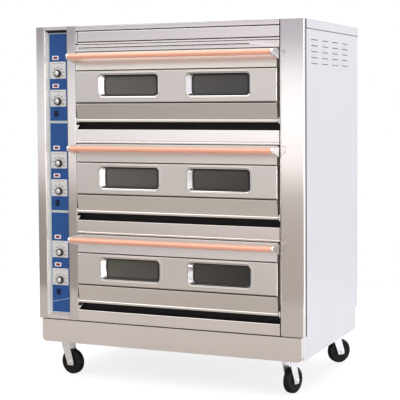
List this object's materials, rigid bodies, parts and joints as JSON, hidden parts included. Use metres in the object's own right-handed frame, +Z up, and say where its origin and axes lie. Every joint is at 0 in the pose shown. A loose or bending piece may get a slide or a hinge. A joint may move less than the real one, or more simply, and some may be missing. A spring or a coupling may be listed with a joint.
{
  "type": "deck oven",
  "caption": "Free-standing electric deck oven: stacked baking chambers with drop-down windowed doors and long bar handles, a side control column, louvred side panels and swivel casters.",
  "frame": {"origin": "on the floor, under the middle of the object's box", "axes": "+Z up, the doors face -Y, +X to the right of someone facing the doors"},
  "size_m": [1.307, 0.922, 1.622],
  "materials": {
    "stainless": "brushed stainless steel sheet",
    "door_steel": "brushed stainless steel, pressed",
    "polished_steel": "polished pressed steel",
    "zinc": "bright zinc plate",
    "frame_steel": "dark painted steel tube",
    "dark_sheet": "dark heat-resistant coating",
    "chamber_steel": "aluminised steel sheet, heat-tinted",
    "hearth": "blued steel plate",
    "heater": "oxidised heating tube",
    "wool": "mineral wool slab",
    "copper_handle": "copper-coloured heat-resistant tube",
    "chrome": "chromed casting",
    "smoked_glass": "smoked heat-resistant glass",
    "blue_panel": "printed blue panel film",
    "dial_silver": "satin silver dial plate",
    "black_plastic": "moulded black plastic",
    "lamp_red": "dark red lens in a white frame",
    "grey_plastic": "moulded grey plastic",
    "black_rubber": "black rubber wheel"
  },
  "bodies": {
    "root": {"base_frame": "frame_steel", "plinth": "stainless", "left_pillar": "stainless", "right_pillar": "stainless", "header_fascia": "stainless", "deck_fascias": "stainless", "door_sills": "dark_sheet", "side_panels": "stainless", "top_cover": "stainless", "rear_panel": "stainless", "cable_inlet": "black_plastic", "oven_chambers": "chamber_steel", "hearth_plates": "hearth", "heating_elements": "heater", "insulation": "wool", "hinge_brackets": "zinc", "control_bay": "stainless", "control_strip": "blue_panel", "dial_plates": "dial_silver", "thermostats": "zinc", "indicator_lamps": "lamp_red", "switch_housings": "black_plastic", "electrical_parts": "grey_plastic", "caster_plates": "zinc", "screws": "zinc"},
    "lower_door": {"lower_door_skin": "door_steel", "lower_door_liner": "chamber_steel", "lower_window_bezels": "polished_steel", "lower_window_panes": "smoked_glass", "lower_handle_bar": "copper_handle", "lower_handle_arms": "chrome"},
    "middle_door": {"middle_door_skin": "door_steel", "middle_door_liner": "chamber_steel", "middle_window_bezels": "polished_steel", "middle_window_panes": "smoked_glass", "middle_handle_bar": "copper_handle", "middle_handle_arms": "chrome"},
    "upper_door": {"upper_door_skin": "door_steel", "upper_door_liner": "chamber_steel", "upper_window_bezels": "polished_steel", "upper_window_panes": "smoked_glass", "upper_handle_bar": "copper_handle", "upper_handle_arms": "chrome"},
    "lower_top_heat_knob": {"lower_top_heat_knob": "black_plastic"},
    "lower_bottom_heat_knob": {"lower_bottom_heat_knob": "black_plastic"},
    "lower_rocker": {"lower_rocker": "black_plastic"},
    "middle_top_heat_knob": {"middle_top_heat_knob": "black_plastic"},
    "middle_bottom_heat_knob": {"middle_bottom_heat_knob": "black_plastic"},
    "middle_rocker": {"middle_rocker": "black_plastic"},
    "upper_top_heat_knob": {"upper_top_heat_knob": "black_plastic"},
    "upper_bottom_heat_knob": {"upper_bottom_heat_knob": "black_plastic"},
    "upper_rocker": {"upper_rocker": "black_plastic"},
    "caster_front_left_fork": {"caster_front_left_fork": "zinc"},
    "caster_front_left_wheel": {"caster_front_left_wheel": "black_rubber"},
    "caster_front_right_fork": {"caster_front_right_fork": "zinc"},
    "caster_front_right_wheel": {"caster_front_right_wheel": "black_rubber"},
    "caster_rear_left_fork": {"caster_rear_left_fork": "zinc"},
    "caster_rear_left_wheel": {"caster_rear_left_wheel": "black_rubber"},
    "caster_rear_right_fork": {"caster_rear_right_fork": "zinc"},
    "caster_rear_right_wheel": {"caster_rear_right_wheel": "black_rubber"}
  },
  "joints": [
    {"name": "lower_door_hinge", "type": "hinge", "parent": "root", "child": "lower_door", "pos_m": [0.047, -0.363, 0.363], "axis": [1, 0, 0], "range_deg": [0, 90], "stiffness_Nm_per_rad": 9, "springref_deg": -34.38},
    {"name": "middle_door_hinge", "type": "hinge", "parent": "root", "child": "middle_door", "pos_m": [0.047, -0.363, 0.778], "axis": [1, 0, 0], "range_deg": [0, 90], "stiffness_Nm_per_rad": 9, "springref_deg": -34.38},
    {"name": "upper_door_hinge", "type": "hinge", "parent": "root", "child": "upper_door", "pos_m": [0.047, -0.363, 1.193], "axis": [1, 0, 0], "range_deg": [0, 90], "stiffness_Nm_per_rad": 9, "springref_deg": -34.38},
    {"name": "lower_top_heat_knob_turn", "type": "hinge", "parent": "root", "child": "lower_top_heat_knob", "pos_m": [-0.551, -0.343, 0.578], "axis": [0, 1, 0], "range_deg": [0, 300]},
    {"name": "lower_bottom_heat_knob_turn", "type": "hinge", "parent": "root", "child": "lower_bottom_heat_knob", "pos_m": [-0.551, -0.343, 0.449], "axis": [0, 1, 0], "range_deg": [0, 300]},
    {"name": "lower_rocker_tip", "type": "hinge", "parent": "root", "child": "lower_rocker", "pos_m": [-0.562, -0.3438, 0.393], "axis": [1, 0, 0], "range_deg": [0, 16]},
    {"name": "middle_top_heat_knob_turn", "type": "hinge", "parent": "root", "child": "middle_top_heat_knob", "pos_m": [-0.551, -0.343, 0.993], "axis": [0, 1, 0], "range_deg": [0, 300]},
    {"name": "middle_bottom_heat_knob_turn", "type": "hinge", "parent": "root", "child": "middle_bottom_heat_knob", "pos_m": [-0.551, -0.343, 0.864], "axis": [0, 1, 0], "range_deg": [0, 300]},
    {"name": "middle_rocker_tip", "type": "hinge", "parent": "root", "child": "middle_rocker", "pos_m": [-0.562, -0.3438, 0.808], "axis": [1, 0, 0], "range_deg": [0, 16]},
    {"name": "upper_top_heat_knob_turn", "type": "hinge", "parent": "root", "child": "upper_top_heat_knob", "pos_m": [-0.551, -0.343, 1.408], "axis": [0, 1, 0], "range_deg": [0, 300]},
    {"name": "upper_bottom_heat_knob_turn", "type": "hinge", "parent": "root", "child": "upper_bottom_heat_knob", "pos_m": [-0.551, -0.343, 1.279], "axis": [0, 1, 0], "range_deg": [0, 300]},
    {"name": "upper_rocker_tip", "type": "hinge", "parent": "root", "child": "upper_rocker", "pos_m": [-0.562, -0.3438, 1.223], "axis": [1, 0, 0], "range_deg": [0, 16]},
    {"name": "caster_front_left_swivel", "type": "hinge", "parent": "root", "child": "caster_front_left_fork", "pos_m": [-0.55, -0.288, 0.15], "axis": [0, 0, 1], "continuous": true},
    {"name": "caster_front_left_roll", "type": "hinge", "parent": "caster_front_left_fork", "child": "caster_front_left_wheel", "pos_m": [-0.52046, -0.29321, 0.058], "axis": [0.1736, 0.9848, 0], "continuous": true},
    {"name": "caster_front_right_swivel", "type": "hinge", "parent": "root", "child": "caster_front_right_fork", "pos_m": [0.55, -0.288, 0.15], "axis": [0, 0, 1], "continuous": true},
    {"name": "caster_front_right_roll", "type": "hinge", "parent": "caster_front_right_fork", "child": "caster_front_right_wheel", "pos_m": [0.55726, -0.25889, 0.058], "axis": [-0.9703, 0.2419, 0], "continuous": true},
    {"name": "caster_rear_left_swivel", "type": "hinge", "parent": "root", "child": "caster_rear_left_fork", "pos_m": [-0.55, 0.372, 0.15], "axis": [0, 0, 1], "continuous": true},
    {"name": "caster_rear_left_roll", "type": "hinge", "parent": "caster_rear_left_fork", "child": "caster_rear_left_wheel", "pos_m": [-0.57598, 0.387, 0.058], "axis": [-0.5, -0.866, 0], "continuous": true},
    {"name": "caster_rear_right_swivel", "type": "hinge", "parent": "root", "child": "caster_rear_right_fork", "pos_m": [0.55, 0.372, 0.15], "axis": [0, 0, 1], "continuous": true},
    {"name": "caster_rear_right_roll", "type": "hinge", "parent": "caster_rear_right_fork", "child": "caster_rear_right_wheel", "pos_m": [0.56928, 0.39498, 0.058], "axis": [-0.766, 0.6428, 0], "continuous": true}
  ]
}
